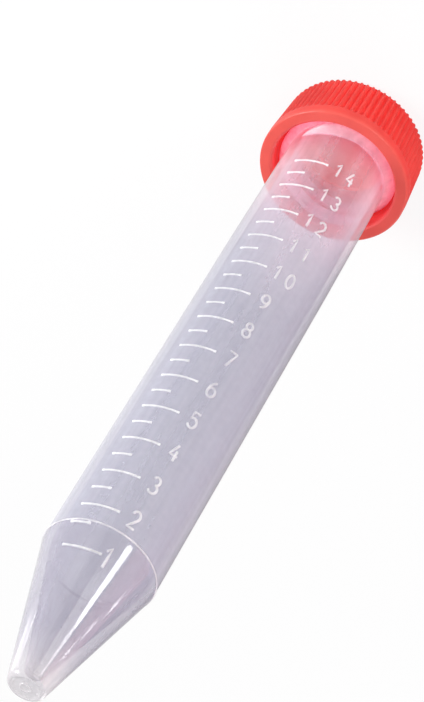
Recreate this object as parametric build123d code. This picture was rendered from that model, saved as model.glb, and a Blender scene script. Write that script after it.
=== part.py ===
"""A 15 ml conical-bottom sample tube with its screw cap on, standing on the cap.

Both mouldings are drawn about Z with the tube's tip at Z = 0 and the cap on top, and heights are given
that way. They are then turned over together, so that the cap's flat end rests on Z = 0 and the tip
points up. Lengths are in millimetres and angles in degrees.
"""
from build123d import *
import os
from math import pi

# Tube, one clear plastic moulding
TUBE_WALL = 1.15
TIP_RADIUS = 2.5            # the cone's outside where it meets the tip's flat end
TIP_EDGE = 0.3              # bevel around that flat end
TIP_FLOOR = 1.8             # solid plastic under the lowest point of the inside
WELL_RADIUS = 1.3           # inside, just above its lowest point
WELL_DEPTH = 0.6
SHOULDER_HEIGHT = 21.5      # where the cone meets the barrel
SHOULDER_RADIUS = 8.0
BARREL_RADIUS = 8.3         # along the straight stretch of the barrel
DRAFT_END = 84.0            # the barrel widens from the shoulder up to here, and is then straight
NECK_START = 107.5          # the neck narrows slightly from here up to its rim
RIM_HEIGHT = 118.0
RIM_RADIUS = 8.2
RIM_EDGE = 0.35

# Volume lines, raised on the outside of the tube
LINE_RISE = 0.16
LINE_WIDTH = 0.55
LINE_ROOT = 0.3             # how far a line's solid reaches into the wall
HALF_ML_HEIGHT = 3.22       # half a millilitre, up the barrel
HALF_LINES_START = 21.07    # the 1.5 ml line
CONE_LINE = 17.67           # the 1 ml line
LINES_START = 64.7          # where every line starts, anticlockwise from +X as seen from the rim
LONG_LINE = 40.2            # how far round a whole millilitre's line goes
SHORT_LINE = 22.0           # how far round a half millilitre's line goes
TOP_LINE_ML = 14

# Cap, one coloured plastic moulding
LIP_HEIGHT = 109.2
LIP_RADIUS = 12.1
LIP_BAND = 1.9              # plain band between the mouth and the ribs
LIP_EDGE = 0.25
CAP_TOP = 120.0
CAP_TOP_RADIUS = 11.6
CAP_TOP_EDGE = 0.9
CAP_PANEL = 1.7             # thickness of the cap's flat end
RIB_COUNT = 72
RIB_DEPTH = 0.42
GROOVE_SHARE = 0.72         # how much of a rib's pitch its groove takes, at the surface
BORE_RADIUS = 10.05
MOUTH_BEVEL = 0.35
PLUG_RADIUS = 7.0           # the ring that seals inside the tube's rim
PLUG_WALL = 0.9
PLUG_DEPTH = 3.0
PLUG_BEVEL = 0.5

PANEL_UNDERSIDE = CAP_TOP - CAP_PANEL
RIBS_START = LIP_HEIGHT + LIP_BAND
RIBS_END = CAP_TOP - CAP_TOP_EDGE


def turned(outline, around=360.0):
    """A solid turned about Z from an outline in radius and height."""
    return revolve(make_face(Plane.XZ * Polyline(*outline, close=True)), Axis.Z, around)


def outer_radius(height):
    """Outside radius of the tube, from the tip to the top of the barrel's draft."""
    if height < SHOULDER_HEIGHT:
        return TIP_RADIUS + (SHOULDER_RADIUS - TIP_RADIUS) * height / SHOULDER_HEIGHT
    share = min(1.0, (height - SHOULDER_HEIGHT) / (DRAFT_END - SHOULDER_HEIGHT))
    return SHOULDER_RADIUS + (BARREL_RADIUS - SHOULDER_RADIUS) * share


def volume_line(height, around):
    """One raised line that goes part of the way round the tube."""
    low = height - LINE_WIDTH / 2
    high = height + LINE_WIDTH / 2
    line = turned([
        (outer_radius(low) - LINE_ROOT, low), (outer_radius(low) + LINE_RISE, low),
        (outer_radius(high) + LINE_RISE, high), (outer_radius(high) - LINE_ROOT, high),
    ], around)
    return Rot(0, 0, LINES_START) * line


def volume_lines():
    lines = [volume_line(CONE_LINE, LONG_LINE)]
    for step in range(2 * TOP_LINE_ML - 2):
        whole_ml = step % 2 == 1
        height = HALF_LINES_START + HALF_ML_HEIGHT * step
        lines.append(volume_line(height, LONG_LINE if whole_ml else SHORT_LINE))
    return lines


def make_tube():
    outside = turned([
        (0, 0), (TIP_RADIUS - TIP_EDGE, 0), (outer_radius(TIP_EDGE), TIP_EDGE),
        (SHOULDER_RADIUS, SHOULDER_HEIGHT), (BARREL_RADIUS, DRAFT_END), (BARREL_RADIUS, NECK_START),
        (RIM_RADIUS, RIM_HEIGHT - RIM_EDGE), (RIM_RADIUS - RIM_EDGE, RIM_HEIGHT), (0, RIM_HEIGHT),
    ])
    inside = turned([
        (0, TIP_FLOOR), (WELL_RADIUS, TIP_FLOOR + WELL_DEPTH),
        (SHOULDER_RADIUS - TUBE_WALL, SHOULDER_HEIGHT), (BARREL_RADIUS - TUBE_WALL, DRAFT_END),
        (BARREL_RADIUS - TUBE_WALL, RIM_HEIGHT), (0, RIM_HEIGHT),
    ])
    return outside.fuse(*volume_lines()) - inside


def rib_groove():
    """The V between two ribs, which follows the cap's taper and runs out over its top edge."""
    rise = Vector(CAP_TOP_RADIUS - LIP_RADIUS, 0, RIBS_END - RIBS_START)
    start = Plane(origin=(LIP_RADIUS, 0, RIBS_START), x_dir=(0, 1, 0), z_dir=rise.normalized())
    half_width = pi * LIP_RADIUS / RIB_COUNT * GROOVE_SHARE
    section = make_face(start * Polyline(
        (0, RIB_DEPTH), (half_width, 0), (half_width, -RIB_DEPTH),
        (-half_width, -RIB_DEPTH), (-half_width, 0), close=True,
    ))
    return extrude(section, rise.length + CAP_TOP_EDGE + 1, dir=rise.normalized())


def make_cap():
    body = turned([
        (0, LIP_HEIGHT), (LIP_RADIUS - LIP_EDGE, LIP_HEIGHT), (LIP_RADIUS, LIP_HEIGHT + LIP_EDGE),
        (LIP_RADIUS, RIBS_START), (CAP_TOP_RADIUS, RIBS_END),
        (CAP_TOP_RADIUS - CAP_TOP_EDGE / 3, CAP_TOP - CAP_TOP_EDGE / 3),
        (CAP_TOP_RADIUS - CAP_TOP_EDGE, CAP_TOP), (0, CAP_TOP),
    ])
    hollow = turned([
        (0, LIP_HEIGHT), (BORE_RADIUS + MOUTH_BEVEL, LIP_HEIGHT),
        (BORE_RADIUS, LIP_HEIGHT + MOUTH_BEVEL), (BORE_RADIUS, PANEL_UNDERSIDE), (0, PANEL_UNDERSIDE),
    ])
    plug_end = PANEL_UNDERSIDE - PLUG_DEPTH
    plug = turned([
        (PLUG_RADIUS - PLUG_WALL, plug_end), (PLUG_RADIUS - PLUG_BEVEL, plug_end),
        (PLUG_RADIUS, plug_end + PLUG_BEVEL), (PLUG_RADIUS, PANEL_UNDERSIDE),
        (PLUG_RADIUS - PLUG_WALL, PANEL_UNDERSIDE),
    ])
    grooves = PolarLocations(0, RIB_COUNT) * rib_groove()
    return (body - grooves) - hollow + plug


def stand_on_cap(solid):
    """Turns a solid over, end for end, so that the cap's flat end is at Z = 0."""
    return Pos(0, 0, CAP_TOP) * Rot(180, 0, 0) * solid


os.makedirs("parts", exist_ok=True)
for name, solid in (("tube", make_tube()), ("cap", make_cap())):
    export_step(stand_on_cap(solid), f"parts/{name}.step")
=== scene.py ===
"""Looks for a 15 ml conical-bottom sample tube with a red screw cap, standing on its cap.

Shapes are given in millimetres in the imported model's frame: Z is the tube's axis, the cap's flat end is
at height 0 and the tip is at the top. Angles around the axis are in degrees, anticlockwise from +X.
"""
from math import cos, pi, radians, sin

import bmesh
import bpy
from mathutils import Matrix, Vector


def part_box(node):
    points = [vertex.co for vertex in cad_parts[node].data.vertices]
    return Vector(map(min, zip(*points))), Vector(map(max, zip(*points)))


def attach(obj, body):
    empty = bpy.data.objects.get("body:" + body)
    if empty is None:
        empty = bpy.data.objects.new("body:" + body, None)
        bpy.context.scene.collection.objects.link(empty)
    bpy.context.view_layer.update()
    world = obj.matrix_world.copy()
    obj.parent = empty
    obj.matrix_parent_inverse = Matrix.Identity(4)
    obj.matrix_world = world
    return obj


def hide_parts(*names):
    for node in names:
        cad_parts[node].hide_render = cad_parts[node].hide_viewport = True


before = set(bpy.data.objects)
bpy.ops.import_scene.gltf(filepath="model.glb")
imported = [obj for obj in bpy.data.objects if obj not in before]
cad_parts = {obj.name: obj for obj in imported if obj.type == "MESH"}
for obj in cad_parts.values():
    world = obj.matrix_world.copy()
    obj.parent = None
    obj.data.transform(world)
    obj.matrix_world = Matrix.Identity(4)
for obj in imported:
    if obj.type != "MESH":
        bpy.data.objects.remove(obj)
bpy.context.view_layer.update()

MM = 0.001

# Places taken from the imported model, in millimetres
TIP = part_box("tube")[1].z / MM
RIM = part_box("tube")[0].z / MM
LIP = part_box("cap")[1].z / MM
LIP_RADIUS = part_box("cap")[1].x / MM
BARREL_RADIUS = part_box("tube")[1].x / MM

# Tube
SHOULDER = TIP - 21.5
SHOULDER_RADIUS = 8.0
TIP_RADIUS = 2.5
STRAIGHT_FROM = TIP - 84.0
NECK_FROM = TIP - 107.5
RIM_RADIUS = 8.2
BORE_RADIUS = 7.15
SHOULDER_BORE = 6.85
SHOULDER_INSET = 0.05
CONE_LEAN = 14.35
TUBE_STEPS = 192

# Neck thread
THREAD_STARTS = 2
THREAD_LEAD = 6.2
THREAD_TURNS = 1.05
THREAD_TOP = LIP - 0.2
THREAD_END_ANGLE = -52.0
THREAD_CREST = 9.58
THREAD_STEPS = 144
FLANK_FOOT = 1.05
FLANK_TOP = 0.42
CREST_HALF_WIDTH = 0.2
CREST_EDGE = 0.25
# Share of a ridge's length that fades at each end, and its size at the very end
FADE_SHARE = 0.12
FADE_SIZE = 0.12
# Height that the upper flank of one ridge reaches, over which angle and how gently it starts
COLLAR_TOP = LIP - 0.3
COLLAR_REACH = 195
COLLAR_EASE = 40
CAP_THREAD_CREST = 9.66
CAP_THREAD_TOP = LIP - 1.8
CAP_THREAD_END_ANGLE = THREAD_END_ANGLE + 90
CAP_THREAD_TURNS = 1.0

# Volume marks
LINE_SPACING = 3.22
FIRST_HALF_LINE = TIP - 21.07
CONE_LINE = TIP - 17.67
LINES_START_ANGLE = -66.2
LONG_LINE = 5.4
SHORT_LINE = 2.8
LINE_WIDTH = 0.31
LINE_END = 0.45
MARK_RISE = 0.14
TOP_NUMBER = 14
NUMBERS_START_ANGLE = -110.6
NUMBER_DROP = 0.1
SINGLE_DIGIT_TURN = 3.8
NUMBER_PITCH = 2.2
DIGIT_WIDTH = 1.5
DIGIT_HEIGHT = 3.2
DIGIT_STROKE = 0.36

# Cap
CAP_STEPS = 576
RIB_COUNT = 72
RIBS_FROM = 0.9
RIBS_TO = LIP - 1.9
CAP_BORE = 10.05
PANEL = 1.7
PLUG_BORE = 6.1
PLUG_RADIUS = 7.0
PLUG_TOP = 4.7
RIB_FOOT_RADIUS = 11.6
OUTSIDE_FROM = 11.0

# Colours and finishes
DEEP_RED = (0.74, 0.060, 0.050)
BRIGHT_RED = (0.82, 0.080, 0.064)
# Paler red of a painted glow at the cap's thin lip
PAINTED_LIP_GLOW = (0.84, 0.19, 0.15)
LIGHT_THROUGH_CAP = (1.0, 0.40, 0.50)
# Height and colour of a painted pink glow from the red cap in the haze inside the cap, then heights
# between which the neck's painted pink turns to barrel
PAINTED_CAP_GLOW = (11.0, (1.0, 0.72, 0.84))
PAINTED_GLOW_FADE = (15.0, 30.0)
NECK_CLEAR = (27.0, 38.0)
# Distances below the tip between which cone turns to tip
TIP_STOPS = (8.0, 1.5)
# Colour of the haze, tint of the clear plastic and finish, each for the neck, barrel, cone and tip. The
# neck's pink haze and tint are painted light from the red cap
HAZE_WITH_PAINTED_GLOW = ((1.0, 0.85, 0.91), (0.56, 0.56, 0.635), (0.57, 0.56, 0.63), (0.80, 0.78, 0.80))
CLEAR_WITH_PAINTED_GLOW = ((1.0, 0.955, 0.985), (0.925, 0.925, 0.95), (0.885, 0.88, 0.91), (0.93, 0.92, 0.93))
FINISH = ((0.35, 0.06, 0.62), (0.42, 0.20, 0.92), (0.09, 0.15, 0.72), (0.12, 0.20, 0.92))

# Studio
FLOOR_SIZE = 6
FLOOR_WHITE_SHARE = 0.88
CAMERA_PLACE = (-86.195, -198.352, 263.869)
CAMERA_TARGET = (2.622, 1.180, 53.984)
CAMERA_UP = (0.2352, -0.7522, -0.6155)
CAMERA_LENS = 73.09
CAMERA_SENSOR = 24


# Modelling helpers ------------------------------------------------------------------------------------

def start_piece(name, radius, height):
    """A new mesh of one point, in edit mode, at a radius along +X and a height."""
    bpy.ops.object.select_all(action="DESELECT")
    bpy.ops.mesh.primitive_plane_add(size=MM, location=(0, 0, 0))
    piece = bpy.context.object
    piece.name = name
    piece.data.name = name
    bpy.ops.object.mode_set(mode="EDIT")
    bpy.ops.mesh.select_mode(type="VERT")
    bpy.ops.mesh.select_all(action="SELECT")
    bpy.ops.mesh.merge(type="CENTER")
    bpy.ops.transform.translate(value=(radius * MM, 0, height * MM))
    return piece


def draw_on(points):
    """Extrudes the last point of a wire through more points (x, y, z), starting from the first."""
    for here, there in zip(points, points[1:]):
        step = (Vector(there) - Vector(here)) * MM
        bpy.ops.mesh.extrude_region_move(TRANSFORM_OT_translate={"value": step})


def pick(piece, wanted):
    """In edit mode, selects only the vertices whose place in millimetres passes a test."""
    bpy.ops.mesh.select_all(action="DESELECT")
    mesh = bmesh.from_edit_mesh(piece.data)
    for vertex in mesh.verts:
        if wanted(vertex.co / MM):
            vertex.select_set(True)
    mesh.select_flush(True)
    bmesh.update_edit_mesh(piece.data)


def close_up(merge=0.0005):
    """Merges doubles, points the faces outwards and leaves edit mode."""
    bpy.ops.mesh.select_all(action="SELECT")
    bpy.ops.mesh.remove_doubles(threshold=merge * MM)
    bpy.ops.mesh.normals_make_consistent(inside=False)
    bpy.ops.object.mode_set(mode="OBJECT")


def smooth(piece, angle=35.0):
    bpy.ops.object.select_all(action="DESELECT")
    piece.select_set(True)
    bpy.context.view_layer.objects.active = piece
    bpy.ops.object.shade_smooth_by_angle(angle=radians(angle))


def turned(name, corners, steps):
    """A closed shape turned about Z from corners (radius, height, rounding). Stays in edit mode."""
    piece = start_piece(name, corners[0][0], corners[0][1])
    draw_on([(radius, 0, height) for radius, height, rounding in corners])
    for radius, height, rounding in corners:
        if rounding:
            pick(piece, lambda p: (p - Vector((radius, 0, height))).length < 0.001)
            bpy.ops.mesh.bevel(offset=rounding * MM, segments=5, affect="VERTICES")
    bpy.ops.mesh.select_all(action="SELECT")
    bpy.ops.mesh.spin(steps=steps, angle=2 * pi, center=(0, 0, 0), axis=(0, 0, 1))
    bpy.ops.mesh.select_all(action="SELECT")
    bpy.ops.mesh.remove_doubles(threshold=0.0005 * MM)
    return piece


def apply_modifiers(piece):
    bpy.ops.object.select_all(action="DESELECT")
    piece.select_set(True)
    bpy.context.view_layer.objects.active = piece
    for modifier in list(piece.modifiers):
        bpy.ops.object.modifier_apply(modifier=modifier.name)


def put(piece, matrix):
    """Moves a piece and sets its place into its mesh."""
    bpy.ops.object.select_all(action="DESELECT")
    piece.select_set(True)
    bpy.context.view_layer.objects.active = piece
    piece.matrix_world = matrix
    bpy.ops.object.transform_apply(location=True, rotation=True, scale=True)


def copy_of(piece):
    twin = piece.copy()
    twin.data = piece.data.copy()
    bpy.context.scene.collection.objects.link(twin)
    return twin


def join(name, parts):
    bpy.ops.object.select_all(action="DESELECT")
    for part in parts:
        part.select_set(True)
    bpy.context.view_layer.objects.active = parts[0]
    bpy.ops.object.join()
    parts[0].name = name
    parts[0].data.name = name
    return parts[0]


# Tube -------------------------------------------------------------------------------------------------

def cone_radius(below_tip):
    """Outside radius of the cone at a distance below the tip."""
    return TIP_RADIUS + (SHOULDER_RADIUS - TIP_RADIUS) * below_tip / (TIP - SHOULDER)


def make_tube_shell():
    """The tube's wall, from the tip's moulded rings down the outside to the rim and up the inside."""
    shell = turned("tube_shell", [
        (0, TIP - 0.12, 0), (0.5, TIP - 0.12, 0.06), (0.62, TIP - 0.02, 0.05), (0.76, TIP - 0.02, 0.05),
        (0.88, TIP - 0.16, 0.06), (1.7, TIP - 0.16, 0.1), (1.95, TIP, 0.08), (2.2, TIP, 0.1),
        (2.58, TIP - 0.3, 0.2), (cone_radius(1.0), TIP - 1.0, 0), (cone_radius(20.6), TIP - 20.6, 0),
        (SHOULDER_RADIUS - 0.04, SHOULDER, 0.2), (SHOULDER_RADIUS - 0.035, SHOULDER - 0.9, 0),
        (BARREL_RADIUS, STRAIGHT_FROM, 0), (BARREL_RADIUS, NECK_FROM, 0),
        (RIM_RADIUS, RIM + 0.35, 0.1), (RIM_RADIUS - 0.35, RIM, 0.1),
        (BORE_RADIUS, RIM, 0.1), (BORE_RADIUS, STRAIGHT_FROM, 0),
        (SHOULDER_BORE + 0.012, SHOULDER - 2.4, 0), (SHOULDER_BORE, SHOULDER, 1.8),
        (SHOULDER_BORE - 0.698, SHOULDER + 2.4, 0), (1.562, TIP - 3.3, 0), (1.3, TIP - 2.4, 0.3),
        (0, TIP - 1.8, 0),
    ], TUBE_STEPS)
    close_up()
    smooth(shell, 25)
    return shell


def make_shoulder_bead():
    """The fine raised ring where the cone meets the barrel."""
    bead = turned("shoulder_bead", [
        (7.85, SHOULDER - 0.17, 0), (8.00, SHOULDER - 0.13, 0), (8.05, SHOULDER - 0.04, 0),
        (8.05, SHOULDER + 0.06, 0), (7.97, SHOULDER + 0.15, 0), (7.80, SHOULDER + 0.02, 0),
        (7.85, SHOULDER - 0.17, 0),
    ], TUBE_STEPS)
    close_up()
    smooth(bead, 80)
    return bead


def make_ridge(name, root, crest, top, end, turns, collar=None):
    """A right-handed ridge that winds up to a height and angle, with ends that fade into the wall.

    Where a collar height is given, the upper flank starts from there for the ridge's last half turn.
    """
    side = 1 if crest > root else -1
    edge = crest - CREST_EDGE * side
    profile = [(root, 0, -FLANK_FOOT), (edge, 0, -FLANK_TOP), (crest, 0, -CREST_HALF_WIDTH),
               (crest, 0, CREST_HALF_WIDTH), (edge, 0, FLANK_TOP), (root, 0, FLANK_FOOT)]
    ridge = start_piece(name, root, -FLANK_FOOT)
    draw_on(profile)
    bpy.ops.mesh.select_all(action="SELECT")
    bpy.ops.mesh.edge_face_add()
    bpy.ops.mesh.delete(type="ONLY_FACE")
    bpy.ops.object.mode_set(mode="OBJECT")
    screw = ridge.modifiers.new("screw", "SCREW")
    screw.axis = "Z"
    screw.angle = 2 * pi * turns
    screw.screw_offset = THREAD_LEAD * turns * MM
    screw.steps = int(THREAD_STEPS * turns)
    screw.render_steps = screw.steps
    screw.use_merge_vertices = False
    apply_modifiers(ridge)
    bpy.ops.object.mode_set(mode="EDIT")
    fade_ends(ridge, root, turns, len(profile))
    if collar:
        raise_flank(ridge, turns, len(profile), collar - (top - THREAD_LEAD * turns))
    bpy.ops.mesh.select_all(action="DESELECT")
    bpy.ops.mesh.select_mode(type="EDGE")
    bpy.ops.mesh.select_non_manifold()
    bpy.ops.mesh.edge_face_add()
    bpy.ops.mesh.select_mode(type="VERT")
    close_up()
    start = Matrix.Rotation(radians(end - 360 * turns), 4, "Z")
    put(ridge, Matrix.Translation((0, 0, (top - THREAD_LEAD * turns) * MM)) @ start)
    smooth(ridge, 60)
    return ridge


def fade_ends(ridge, root, turns, corners):
    """Shrinks a thread's first and last sections towards the wall."""
    mesh = bmesh.from_edit_mesh(ridge.data)
    mesh.verts.ensure_lookup_table()
    sections = len(mesh.verts) // corners
    fading = int(sections * FADE_SHARE)
    for k in range(sections):
        near = min(k, sections - 1 - k)
        if near >= fading:
            continue
        angle = 2 * pi * turns * k / (sections - 1)
        height = THREAD_LEAD * turns * k / (sections - 1)
        size = FADE_SIZE + (1 - FADE_SIZE) * sin(pi / 2 * near / fading)
        bpy.ops.mesh.select_all(action="DESELECT")
        mesh = bmesh.from_edit_mesh(ridge.data)
        mesh.verts.ensure_lookup_table()
        for vertex in mesh.verts[k * corners:(k + 1) * corners]:
            vertex.select_set(True)
        mesh.select_flush(True)
        centre = (root * MM * cos(angle), root * MM * sin(angle), height * MM)
        bpy.ops.transform.resize(value=(size, size, size), center_override=centre)


def raise_flank(ridge, turns, corners, level):
    """Moves the top line of a thread's flank up to a level, except where the ridge has ended."""
    mesh = bmesh.from_edit_mesh(ridge.data)
    mesh.verts.ensure_lookup_table()
    sections = len(mesh.verts) // corners
    for k in range(sections):
        below_end = 360 * turns * (1 - k / (sections - 1))
        mesh = bmesh.from_edit_mesh(ridge.data)
        mesh.verts.ensure_lookup_table()
        edge = mesh.verts[(k + 1) * corners - 1]
        rise = (level * MM - edge.co.z) * min(1, (COLLAR_REACH - below_end) / COLLAR_EASE)
        if below_end < COLLAR_REACH and rise > 0:
            bpy.ops.mesh.select_all(action="DESELECT")
            edge.select_set(True)
            bpy.ops.transform.translate(value=(0, 0, rise))


def make_thread(name, root, crest, top, end, turns, collar=None):
    """Ridges that start evenly around the axis, joined into one thread."""
    ridges = [make_ridge("ridge", root, crest, top, end, turns, collar)]
    for start in range(1, THREAD_STARTS):
        ridges.append(make_ridge("ridge", root, crest, top, end + 360 / THREAD_STARTS * start, turns))
    return join(name, ridges)


# Volume marks -----------------------------------------------------------------------------------------

def raised_stroke(name, points, width, closed=False):
    """A rounded raised stroke in the XZ plane, which faces -Y."""
    stroke = start_piece(name, points[0][0], points[0][1])
    draw_on([(x, 0, z) for x, z in points])
    if closed:
        bpy.ops.mesh.select_all(action="SELECT")
        bpy.ops.mesh.remove_doubles(threshold=0.01 * MM)
    bpy.ops.object.mode_set(mode="OBJECT")
    bpy.ops.object.convert(target="CURVE")
    line = bpy.context.object
    line.data.dimensions = "3D"
    line.data.bevel_depth = width / 2 * MM
    line.data.bevel_resolution = 2
    line.data.use_fill_caps = True
    bpy.ops.object.convert(target="MESH")
    stroke = bpy.context.object
    stroke.name = name
    if not closed:
        rounding = stroke.modifiers.new("ends", "BEVEL")
        rounding.width = width * 0.3 * MM
        rounding.segments = 3
        rounding.limit_method = "ANGLE"
        rounding.angle_limit = radians(70)
        apply_modifiers(stroke)
    put(stroke, Matrix.Diagonal((1, MARK_RISE / (width / 2), 1, 1)))
    bpy.ops.object.mode_set(mode="EDIT")
    close_up(0.002)
    return stroke


def bend_round(piece, radius):
    """Bends a flat mark that faces -Y around the Z axis, at a radius."""
    bpy.ops.object.select_all(action="DESELECT")
    piece.select_set(True)
    bpy.context.view_layer.objects.active = piece
    across = [vertex.co.x for vertex in piece.data.vertices]
    bend = piece.modifiers.new("bend", "SIMPLE_DEFORM")
    bend.deform_method = "BEND"
    bend.deform_axis = "Z"
    bend.angle = (max(across) - min(across)) / (radius * MM)
    apply_modifiers(piece)
    put(piece, Matrix.Translation((0, -radius * MM, 0)))


def wall_radius(height):
    """Outside radius of the tube at a height above the cap's flat end."""
    if height > SHOULDER:
        return cone_radius(TIP - height)
    if height < STRAIGHT_FROM:
        return BARREL_RADIUS
    share = (SHOULDER - height) / (SHOULDER - STRAIGHT_FROM)
    return SHOULDER_RADIUS - SHOULDER_INSET + (BARREL_RADIUS - SHOULDER_RADIUS + SHOULDER_INSET) * share


def line_mark(name, length):
    """A volume line: a thin raised stroke whose ends are slightly thicker."""
    count = 24
    points = [(length * (k / count - 0.5), 0) for k in range(count + 1)]
    line = raised_stroke(name, points, LINE_WIDTH)
    bpy.ops.object.mode_set(mode="EDIT")
    for side in (-1, 1):
        pick(line, lambda p: p.x * side > length / 2 - LINE_END)
        bpy.ops.transform.resize(value=(1, 1.15, 1.3), center_override=(side * length / 2 * MM, 0, 0))
    bpy.ops.object.mode_set(mode="OBJECT")
    return line


def place_mark(mark, height, middle_angle):
    """Puts a bent mark, made for the front, at a height and angle on the tube's wall."""
    lean = 0.0
    if height > SHOULDER:
        lean = -radians(CONE_LEAN)
    put(mark, Matrix.Rotation(radians(middle_angle + 90), 4, "Z")
        @ Matrix.Translation((0, -wall_radius(height) * MM, height * MM))
        @ Matrix.Rotation(lean, 4, "X")
        @ Matrix.Translation((0, wall_radius(height) * MM, 0)))


def whole_line(number):
    """Height of a whole millilitre's line, from 2 up."""
    return FIRST_HALF_LINE - LINE_SPACING * (2 * number - 3)


def make_volume_lines():
    lines = []
    for length, heights in (
        (LONG_LINE, [CONE_LINE] + [whole_line(number) for number in range(2, TOP_NUMBER + 1)]),
        (SHORT_LINE, [FIRST_HALF_LINE - LINE_SPACING * 2 * n for n in range(TOP_NUMBER - 1)]),
    ):
        pattern = line_mark("line", length)
        for height in heights:
            radius = wall_radius(height)
            line = copy_of(pattern)
            bend_round(line, radius)
            middle = LINES_START_ANGLE - (length / 2) / radius * 180 / pi
            place_mark(line, height, middle)
            lines.append(line)
        bpy.data.objects.remove(pattern)
    lines = join("volume_lines", lines)
    smooth(lines, 50)
    return lines


def arc(centre, across, up, first, last, count=12):
    """Points of an elliptical arc, by angles in degrees."""
    angles = [first + (last - first) * k / count for k in range(count + 1)]
    return [(centre[0] + across * cos(radians(a)), centre[1] + up * sin(radians(a))) for a in angles]


# Each digit's strokes on a grid one wide and one high, and whether the stroke closes on itself
DIGITS = {
    "0": [(arc((0.5, 0.5), 0.5, 0.5, 90, 450, 24), True)],
    "1": [([(0.12, 0.76), (0.55, 1.0), (0.55, 0.5), (0.55, 0.0)], False)],
    "2": [(arc((0.5, 0.72), 0.48, 0.28, 165, -35) + [(0.45, 0.25), (0.0, 0.0), (0.5, 0.0), (1.0, 0.0)],
           False)],
    "3": [(arc((0.46, 0.76), 0.44, 0.24, 150, -80, 10), False),
          (arc((0.46, 0.27), 0.52, 0.27, 85, -150, 12), False)],
    "4": [([(0.6, 1.0), (0.3, 0.66), (0.0, 0.32), (0.5, 0.32), (1.0, 0.32)], False),
          ([(0.72, 0.62), (0.72, 0.3), (0.72, 0.0)], False)],
    "5": [([(0.92, 1.0), (0.5, 1.0), (0.16, 1.0), (0.1, 0.56)]
           + arc((0.46, 0.32), 0.52, 0.32, 118, -150), False)],
    "6": [(arc((0.5, 0.3), 0.5, 0.3, 180, 540, 20), True),
          (arc((0.9, 0.3), 0.9, 0.7, 180, 104, 8), False)],
    "7": [([(0.0, 1.0), (0.5, 1.0), (1.0, 1.0), (0.66, 0.5), (0.35, 0.0)], False)],
    "8": [(arc((0.5, 0.765), 0.4, 0.235, 90, 450, 16), True),
          (arc((0.5, 0.27), 0.5, 0.27, 90, 450, 20), True)],
    "9": [(arc((0.5, 0.7), 0.5, 0.3, 0, 360, 20), True),
          (arc((0.1, 0.7), 0.9, 0.7, 0, -76, 8), False)],
}


def digit_mark(digit):
    """One raised digit, centred, upright in the XZ plane and facing -Y."""
    wide = DIGIT_WIDTH - DIGIT_STROKE
    high = DIGIT_HEIGHT - DIGIT_STROKE
    strokes = []
    for points, closed in DIGITS[digit]:
        points = [((x - 0.5) * wide, (z - 0.5) * high) for x, z in points]
        strokes.append(raised_stroke("stroke", points, DIGIT_STROKE, closed))
    return join("digit", strokes)


def make_volume_numbers():
    """The numbers 1 to 14, which read with the cap uppermost."""
    patterns = {digit: digit_mark(digit) for digit in DIGITS}
    numbers = []
    for number in range(1, TOP_NUMBER + 1):
        height = CONE_LINE if number == 1 else whole_line(number)
        radius = wall_radius(height)
        for place, digit in enumerate(str(number)):
            mark = copy_of(patterns[digit])
            put(mark, Matrix.Rotation(pi, 4, "Y"))
            bend_round(mark, radius)
            along = DIGIT_WIDTH / 2 + NUMBER_PITCH * place
            start = NUMBERS_START_ANGLE - (SINGLE_DIGIT_TURN if 1 < number < 10 else 0)
            place_mark(mark, height - NUMBER_DROP, start - along / radius * 180 / pi)
            numbers.append(mark)
    for pattern in patterns.values():
        bpy.data.objects.remove(pattern)
    numbers = join("volume_numbers", numbers)
    smooth(numbers, 50)
    return numbers


# Cap --------------------------------------------------------------------------------------------------

def make_cap():
    cap = turned("screw_cap", [
        (0, PANEL, 0), (PLUG_BORE, PANEL, 0.15), (PLUG_BORE, PLUG_TOP, 0.1),
        (PLUG_RADIUS - 0.5, PLUG_TOP, 0.1), (PLUG_RADIUS, PLUG_TOP - 0.5, 0.1),
        (PLUG_RADIUS, PANEL, 0.15), (CAP_BORE, PANEL, 0.3),
        (CAP_BORE, LIP - 0.35, 0.08), (CAP_BORE + 0.35, LIP, 0.1),
        (LIP_RADIUS, LIP, 0.28), (LIP_RADIUS, RIBS_TO + 0.15, 0), (LIP_RADIUS - 0.01, RIBS_TO, 0),
        (LIP_RADIUS - 0.03, RIBS_TO - 0.3, 0), (LIP_RADIUS - 0.05, RIBS_TO - 0.6, 0),
        (RIB_FOOT_RADIUS, RIBS_FROM, 0.15), (11.3, 0.3, 0.15), (10.7, 0, 0.2), (0, 0, 0),
    ], CAP_STEPS)
    pitch = CAP_STEPS // RIB_COUNT
    # How far each line of points across one rib's pitch goes in, from the crest at 0. The grooves are
    # shallower in a short stretch below the plain lip band
    depths = [0.0, 0.06, 0.24, 0.50, 0.60, 0.50, 0.24, 0.06]
    for low, high, share in ((RIBS_FROM - 0.7, RIBS_TO - 0.45, 1.0), (RIBS_TO - 0.4, RIBS_TO - 0.2, 0.6)):
        for k, depth in enumerate(depths):
            if not depth:
                continue
            pick(cap, lambda p: in_groove(p, k, pitch, low, high))
            size = 1 - depth * share / LIP_RADIUS
            bpy.ops.transform.resize(value=(size, size, 1), center_override=(0, 0, 0))
    close_up()
    smooth(cap, 40)
    return cap


def in_groove(place, k, pitch, low, high):
    """Whether a point of the cap's outside is on line k of its rib's pitch, between two heights."""
    if not low < place.z < high or Vector((place.x, place.y)).length < OUTSIDE_FROM:
        return False
    line = round(Vector((1, 0)).angle_signed(Vector((place.x, -place.y))) / (2 * pi) * CAP_STEPS)
    return line % pitch == k


# Materials --------------------------------------------------------------------------------------------

def new_material(name):
    made = bpy.data.materials.new(name)
    made.use_nodes = True
    made.node_tree.nodes.clear()
    return made, made.node_tree.nodes, made.node_tree.links


def add_node(nodes, kind, values=None):
    """A new node of a kind, with values for its inputs by name or number."""
    node = nodes.new(kind)
    for socket, value in (values or {}).items():
        node.inputs[socket].default_value = value
    return node


def add_maths(nodes, operation, values=None):
    maths = add_node(nodes, "ShaderNodeMath", values)
    maths.operation = operation
    return maths


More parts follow.
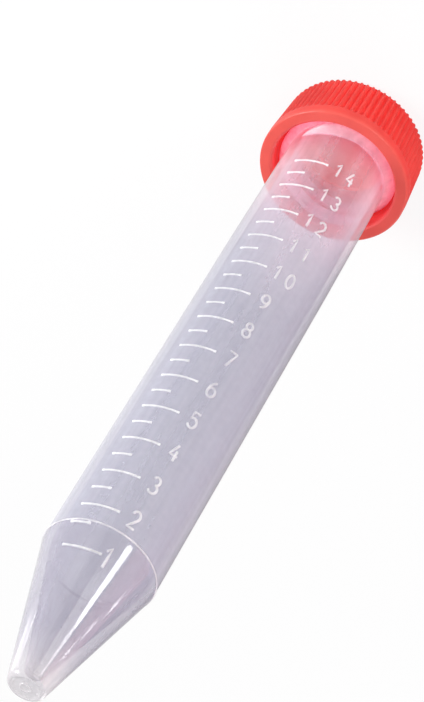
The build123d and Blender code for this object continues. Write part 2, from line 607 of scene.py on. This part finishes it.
def red_plastic():
    """Red moulded plastic, which lets coloured light through to what it surrounds."""
    made, nodes, links = new_material("red_cap_plastic")
    place = nodes.new("ShaderNodeTexCoord")

    # A slightly cloudy red, with a painted glow that makes it paler at the lip
    cloud = add_node(nodes, "ShaderNodeTexNoise", {"Scale": 260, "Detail": 3})
    colours = nodes.new("ShaderNodeValToRGB")
    deep, bright = colours.color_ramp.elements
    deep.position = 0.3
    deep.color = (*DEEP_RED, 1)
    bright.position = 0.7
    bright.color = (*BRIGHT_RED, 1)
    split = nodes.new("ShaderNodeSeparateXYZ")
    lip_glow_share = add_node(nodes, "ShaderNodeMapRange", {
        "From Min": (LIP - 1.0) * MM, "From Max": (LIP - 0.1) * MM, "To Max": 0.4,
    })
    body = add_node(nodes, "ShaderNodeMixRGB", {"Color2": (*PAINTED_LIP_GLOW, 1)})
    links.new(place.outputs["Object"], cloud.inputs["Vector"])
    links.new(cloud.outputs["Fac"], colours.inputs["Fac"])
    links.new(place.outputs["Object"], split.inputs["Vector"])
    links.new(split.outputs["Z"], lip_glow_share.inputs["Value"])
    links.new(lip_glow_share.outputs["Result"], body.inputs["Fac"])
    links.new(colours.outputs["Color"], body.inputs["Color1"])

    # A finely grained surface with some light scattered through it
    shader = add_node(nodes, "ShaderNodeBsdfPrincipled", {"Roughness": 0.33, "Specular IOR Level": 0.4})
    grain = add_node(nodes, "ShaderNodeTexNoise", {"Scale": 2600})
    bump = add_node(nodes, "ShaderNodeBump", {"Strength": 0.08, "Distance": 0.00005})
    glow = nodes.new("ShaderNodeBsdfTranslucent")
    plastic = add_node(nodes, "ShaderNodeMixShader", {"Fac": 0.2})
    links.new(place.outputs["Object"], grain.inputs["Vector"])
    links.new(grain.outputs["Fac"], bump.inputs["Height"])
    links.new(bump.outputs["Normal"], shader.inputs["Normal"])
    links.new(body.outputs["Color"], shader.inputs["Base Color"])
    links.new(body.outputs["Color"], glow.inputs["Color"])
    links.new(shader.outputs["BSDF"], plastic.inputs[1])
    links.new(glow.outputs["BSDF"], plastic.inputs[2])

    # Shadow and diffuse rays pass, so that the inside of the cap glows red
    rays = nodes.new("ShaderNodeLightPath")
    unseen = add_maths(nodes, "MAXIMUM")
    through = add_node(nodes, "ShaderNodeBsdfTransparent", {"Color": (*LIGHT_THROUGH_CAP, 1)})
    lit = nodes.new("ShaderNodeMixShader")
    out = nodes.new("ShaderNodeOutputMaterial")
    links.new(rays.outputs["Is Shadow Ray"], unseen.inputs[0])
    links.new(rays.outputs["Is Diffuse Ray"], unseen.inputs[1])
    links.new(unseen.outputs["Value"], lit.inputs["Fac"])
    links.new(plastic.outputs["Shader"], lit.inputs[1])
    links.new(through.outputs["BSDF"], lit.inputs[2])
    links.new(lit.outputs["Shader"], out.inputs["Surface"])
    return made


def along_tube(nodes, links, stops):
    """A colour that changes with height, from (height in millimetres, colour) stops."""
    place = nodes.new("ShaderNodeTexCoord")
    split = nodes.new("ShaderNodeSeparateXYZ")
    height = add_node(nodes, "ShaderNodeMapRange", {"From Max": TIP * MM})
    ramp = nodes.new("ShaderNodeValToRGB")
    elements = ramp.color_ramp.elements
    while len(elements) < len(stops):
        elements.new(0.5)
    for element, (stop, colour) in zip(elements, stops):
        element.position = stop / TIP
        element.color = (*colour, 1)
    links.new(place.outputs["Object"], split.inputs["Vector"])
    links.new(split.outputs["Z"], height.inputs["Value"])
    links.new(height.outputs["Result"], ramp.inputs["Fac"])
    return ramp.outputs["Color"]


def uneven_haze(nodes, links, haze):
    """Makes a haze's density vary in fine specks and in streaks along the tube."""
    place = nodes.new("ShaderNodeTexCoord")
    specks = add_node(nodes, "ShaderNodeTexNoise", {"Scale": 900, "Detail": 4})
    speckled = add_node(nodes, "ShaderNodeMapRange", {"To Min": 0.84, "To Max": 1.16})
    stretch = add_node(nodes, "ShaderNodeMapping", {"Scale": (520, 520, 22)})
    streaks = add_node(nodes, "ShaderNodeTexNoise", {"Scale": 1.0, "Detail": 2})
    streaked = add_node(nodes, "ShaderNodeMapRange", {
        "From Min": 0.3, "From Max": 0.7, "To Min": 0.66, "To Max": 1.25,
    })
    with_streaks = add_maths(nodes, "MULTIPLY")
    with_specks = add_maths(nodes, "MULTIPLY")
    links.new(place.outputs["Object"], stretch.inputs["Vector"])
    links.new(stretch.outputs["Vector"], streaks.inputs["Vector"])
    links.new(streaks.outputs["Fac"], streaked.inputs["Value"])
    links.new(place.outputs["Object"], specks.inputs["Vector"])
    links.new(specks.outputs["Fac"], speckled.inputs["Value"])
    links.new(haze, with_streaks.inputs[0])
    links.new(streaked.outputs["Result"], with_streaks.inputs[1])
    links.new(with_streaks.outputs["Value"], with_specks.inputs[0])
    links.new(speckled.outputs["Result"], with_specks.inputs[1])
    return with_specks.outputs["Value"]


def milky_plastic(name, body, clear_tint, finish_stops, glow=0.35):
    """Clear plastic with a haze in it: part of the light goes straight through, the rest is milky.

    body, clear_tint and finish_stops are stops of along_tube. A finish has the roughness in red, how
    dense the haze is face on in green and how dense it is at the edges in blue. The glow is how much of
    the haze's light comes from behind it.
    """
    made, nodes, links = new_material(name)
    finish = nodes.new("ShaderNodeSeparateColor")
    links.new(along_tube(nodes, links, finish_stops), finish.inputs["Color"])

    # The haze, which scatters light to the front and to the back
    shader = add_node(nodes, "ShaderNodeBsdfPrincipled", {"Specular IOR Level": 0.15})
    soft = nodes.new("ShaderNodeBsdfTranslucent")
    milky = add_node(nodes, "ShaderNodeMixShader", {"Fac": glow})
    body_colour = along_tube(nodes, links, body)
    links.new(body_colour, shader.inputs["Base Color"])
    links.new(body_colour, soft.inputs["Color"])
    links.new(finish.outputs["Red"], shader.inputs["Roughness"])
    links.new(shader.outputs["BSDF"], milky.inputs[1])
    links.new(soft.outputs["BSDF"], milky.inputs[2])

    # How much of it covers the clear plastic, which is more where the wall is seen edge on
    clear = nodes.new("ShaderNodeBsdfTransparent")
    edge = add_node(nodes, "ShaderNodeLayerWeight", {"Blend": 0.35})
    density = nodes.new("ShaderNodeMapRange")
    surface = nodes.new("ShaderNodeMixShader")
    links.new(along_tube(nodes, links, clear_tint), clear.inputs["Color"])
    links.new(edge.outputs["Facing"], density.inputs["Value"])
    links.new(finish.outputs["Green"], density.inputs["To Min"])
    links.new(finish.outputs["Blue"], density.inputs["To Max"])
    links.new(uneven_haze(nodes, links, density.outputs["Result"]), surface.inputs["Fac"])
    links.new(clear.outputs["BSDF"], surface.inputs[1])
    links.new(milky.outputs["Shader"], surface.inputs[2])

    # The shine, on outward faces only
    shine = nodes.new("ShaderNodeBsdfGlossy")
    fresnel = add_node(nodes, "ShaderNodeFresnel", {"IOR": 1.45})
    side = nodes.new("ShaderNodeNewGeometry")
    outside = add_maths(nodes, "SUBTRACT", {0: 1.0})
    gleam = add_maths(nodes, "MULTIPLY")
    coat = nodes.new("ShaderNodeMixShader")
    out = nodes.new("ShaderNodeOutputMaterial")
    links.new(finish.outputs["Red"], shine.inputs["Roughness"])
    links.new(side.outputs["Backfacing"], outside.inputs[1])
    links.new(fresnel.outputs["Fac"], gleam.inputs[0])
    links.new(outside.outputs["Value"], gleam.inputs[1])
    links.new(gleam.outputs["Value"], coat.inputs["Fac"])
    links.new(surface.outputs["Shader"], coat.inputs[1])
    links.new(shine.outputs["BSDF"], coat.inputs[2])
    links.new(coat.outputs["Shader"], out.inputs["Surface"])
    return made


def zoned(colours, neck_stops=NECK_CLEAR):
    """Stops for the neck, the barrel, the cone and the tip."""
    neck, barrel, cone, tip = colours
    return [(neck_stops[0], neck), (neck_stops[1], barrel), (SHOULDER - 0.4, barrel), (SHOULDER, cone),
            (TIP - TIP_STOPS[0], cone), (TIP - TIP_STOPS[1], tip)]


def even(colour):
    """Stops of one colour."""
    return [(0, colour), (TIP, colour)]


def floor_paint():
    """White to the eye and through clear plastic, with a soft shadow left in it.

    To gloss it goes from dark towards -X to white towards +X, so that reflections have a lighter side.
    """
    made, nodes, links = new_material("studio_floor")
    matt = add_node(nodes, "ShaderNodeBsdfDiffuse", {"Color": (0.9, 0.9, 0.9, 1)})
    white = add_node(nodes, "ShaderNodeEmission", {"Strength": 1.0})
    blend = nodes.new("ShaderNodeMixShader")
    rays = nodes.new("ShaderNodeLightPath")
    place = nodes.new("ShaderNodeTexCoord")
    split = nodes.new("ShaderNodeSeparateXYZ")
    sweep = add_node(nodes, "ShaderNodeMapRange", {"From Min": -0.03, "From Max": 0.05})
    shade = add_node(nodes, "ShaderNodeMixRGB", {"Color1": (1, 1, 1, 1)})
    either = add_maths(nodes, "MAXIMUM")
    any_ray = add_maths(nodes, "MAXIMUM")
    share = add_maths(nodes, "MULTIPLY", {1: FLOOR_WHITE_SHARE})
    out = nodes.new("ShaderNodeOutputMaterial")
    links.new(place.outputs["Object"], split.inputs["Vector"])
    links.new(split.outputs["X"], sweep.inputs["Value"])
    links.new(rays.outputs["Is Glossy Ray"], shade.inputs["Fac"])
    links.new(sweep.outputs["Result"], shade.inputs["Color2"])
    links.new(shade.outputs["Color"], white.inputs["Color"])
    links.new(rays.outputs["Is Camera Ray"], either.inputs[0])
    links.new(rays.outputs["Is Glossy Ray"], either.inputs[1])
    links.new(either.outputs["Value"], any_ray.inputs[0])
    links.new(rays.outputs["Is Transmission Ray"], any_ray.inputs[1])
    links.new(any_ray.outputs["Value"], share.inputs[0])
    links.new(share.outputs["Value"], blend.inputs["Fac"])
    links.new(matt.outputs["BSDF"], blend.inputs[1])
    links.new(white.outputs["Emission"], blend.inputs[2])
    links.new(blend.outputs["Shader"], out.inputs["Surface"])
    return made


# Studio -----------------------------------------------------------------------------------------------

def make_floor():
    bpy.ops.object.select_all(action="DESELECT")
    bpy.ops.mesh.primitive_plane_add(size=FLOOR_SIZE, location=(0, 0, 0))
    floor = bpy.context.object
    floor.name = "floor"
    floor.data.materials.append(floor_paint())


def soft_light(name, place, target, size, power, colour=(1, 1, 1)):
    """A rectangular soft light that faces a point, with places and sizes in millimetres."""
    lamp = bpy.data.lights.new(name, "AREA")
    lamp.shape = "RECTANGLE"
    lamp.size = size[0] * MM
    lamp.size_y = size[1] * MM
    lamp.energy = power
    lamp.color = colour
    holder = bpy.data.objects.new(name, lamp)
    bpy.context.scene.collection.objects.link(holder)
    holder.location = Vector(place) * MM
    holder.rotation_euler = (Vector(target) - Vector(place)).to_track_quat("-Z", "Y").to_euler()


def make_camera():
    """Looks down on the tube from the front and from -X, turned so that the cap is at the top right."""
    place = Vector(CAMERA_PLACE)
    back = (place - Vector(CAMERA_TARGET)).normalized()
    right = Vector(CAMERA_UP).cross(back).normalized()
    true_up = back.cross(right)
    camera = bpy.data.objects.new("camera", bpy.data.cameras.new("camera"))
    bpy.context.scene.collection.objects.link(camera)
    turn = Matrix((right, true_up, back)).transposed().to_4x4()
    camera.matrix_world = Matrix.Translation(place * MM) @ turn
    camera.data.sensor_fit = "VERTICAL"
    camera.data.sensor_height = CAMERA_SENSOR
    camera.data.lens = CAMERA_LENS
    camera.data.clip_start = 0.005
    bpy.context.scene.camera = camera


def make_world():
    """Soft light from all round, white to the eye and brighter towards +X to gloss."""
    world = bpy.data.worlds.new("studio")
    world.use_nodes = True
    bpy.context.scene.world = world
    nodes = world.node_tree.nodes
    links = world.node_tree.links
    nodes.clear()
    light = add_node(nodes, "ShaderNodeBackground", {"Color": (0.93, 0.94, 1.0, 1), "Strength": 0.3})
    white = add_node(nodes, "ShaderNodeBackground", {"Color": (1, 1, 1, 1), "Strength": 1.0})
    rays = nodes.new("ShaderNodeLightPath")
    direction = nodes.new("ShaderNodeTexCoord")
    split = nodes.new("ShaderNodeSeparateXYZ")
    sweep = add_node(nodes, "ShaderNodeMapRange", {
        "From Min": -0.4, "From Max": 0.7, "To Min": 0.12, "To Max": 0.75,
    })
    sheen = add_maths(nodes, "MULTIPLY")
    seen = add_maths(nodes, "MAXIMUM")
    mix = nodes.new("ShaderNodeMixShader")
    out = nodes.new("ShaderNodeOutputWorld")
    links.new(direction.outputs["Generated"], split.inputs["Vector"])
    links.new(split.outputs["X"], sweep.inputs["Value"])
    links.new(rays.outputs["Is Glossy Ray"], sheen.inputs[0])
    links.new(sweep.outputs["Result"], sheen.inputs[1])
    links.new(rays.outputs["Is Camera Ray"], seen.inputs[0])
    links.new(sheen.outputs["Value"], seen.inputs[1])
    links.new(seen.outputs["Value"], mix.inputs["Fac"])
    links.new(light.outputs["Background"], mix.inputs[1])
    links.new(white.outputs["Background"], mix.inputs[2])
    links.new(mix.outputs["Shader"], out.inputs["Surface"])


# Putting it together ----------------------------------------------------------------------------------

def dress(piece, body, material):
    piece.data.materials.clear()
    piece.data.materials.append(material)
    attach(piece, body)


# The tube's wall, whose neck is painted pink with light from the red cap
wall_plastic = milky_plastic("frosted_tube_plastic", [PAINTED_CAP_GLOW] + zoned(HAZE_WITH_PAINTED_GLOW, PAINTED_GLOW_FADE), zoned(CLEAR_WITH_PAINTED_GLOW),
                             zoned(FINISH))
# The bead is the tube's own milky plastic; its white haze is a painted highlight on the ring
bead_plastic = milky_plastic("shoulder_bead_plastic", even((1.0, 0.99, 1.0)), even((1.0, 1.0, 1.0)),
                             even((0.12, 0.52, 0.85)), 0.5)
# The thread's pink haze and tint, deeper towards the lip, are painted light from the red cap around it
thread_plastic = milky_plastic("neck_thread_plastic",
                               [(9.0, (0.99, 0.90, 0.92)), (10.2, (0.97, 0.76, 0.82))],
                               even((0.98, 0.92, 0.94)),
                               [(9.0, (0.3, 0.80, 1.0)), (10.2, (0.3, 0.50, 0.95))])
# The raised lines and numbers are the tube's own milky plastic; their white haze is a painted highlight
mark_plastic = milky_plastic("raised_mark_plastic", even((1.0, 1.0, 1.0)), even((1.0, 1.0, 1.0)),
                             even((0.3, 0.72, 0.8)))
number_plastic = milky_plastic("raised_number_plastic", even((1.0, 1.0, 1.0)), even((1.0, 1.0, 1.0)),
                               even((0.3, 0.50, 0.6)))
cap_plastic = red_plastic()

tube_shell = make_tube_shell()
dress(tube_shell, "tube", wall_plastic)
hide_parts("tube")

shoulder_bead = make_shoulder_bead()
dress(shoulder_bead, "tube", bead_plastic)

neck_thread = make_thread("neck_thread", RIM_RADIUS - 0.1, THREAD_CREST, THREAD_TOP, THREAD_END_ANGLE,
                          THREAD_TURNS, COLLAR_TOP)
dress(neck_thread, "tube", thread_plastic)

volume_lines = make_volume_lines()
dress(volume_lines, "tube", mark_plastic)
volume_numbers = make_volume_numbers()
dress(volume_numbers, "tube", number_plastic)

screw_cap = make_cap()
dress(screw_cap, "cap", cap_plastic)
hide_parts("cap")

cap_thread = make_thread("cap_thread", CAP_BORE + 0.1, CAP_THREAD_CREST, CAP_THREAD_TOP,
                         CAP_THREAD_END_ANGLE, CAP_THREAD_TURNS)
dress(cap_thread, "cap", cap_plastic)

make_floor()
make_world()
soft_light("key", (330, -160, 260), (0, 0, 60), (220, 220), 1.9)
soft_light("fill", (-280, -320, 160), (0, 0, 40), (300, 300), 0.95, (1.0, 0.985, 0.93))
soft_light("back", (-100, 310, 120), (0, 0, 20), (240, 200), 0.42)
soft_light("streak", (-286, -217, 34), (-4, -5, 110), (66, 42), 0.20)
soft_light("streak_end", (-279, -212, 68), (-4, -5, 110), (50, 26), 0.035)
soft_light("left_streak", (183, 7, 55), (2, -3, 115), (60, 13), 0.017)
soft_light("left_glint", (176, -55, 64), (2, -3, 115), (30, 13), 0.008)
soft_light("warm_side", (-275, -10, 36), (0, 0, 105), (250, 190), 0.22, (1.0, 0.30, 0.38))
for place in ((-92, 16, 81), (-94, 0, 90), (-94, -10, 97)):
    soft_light("side_glint", place, (-5, -3, 107), (10, 3), 0.0016)
make_camera()
bpy.context.scene.view_settings.view_transform = "Standard"
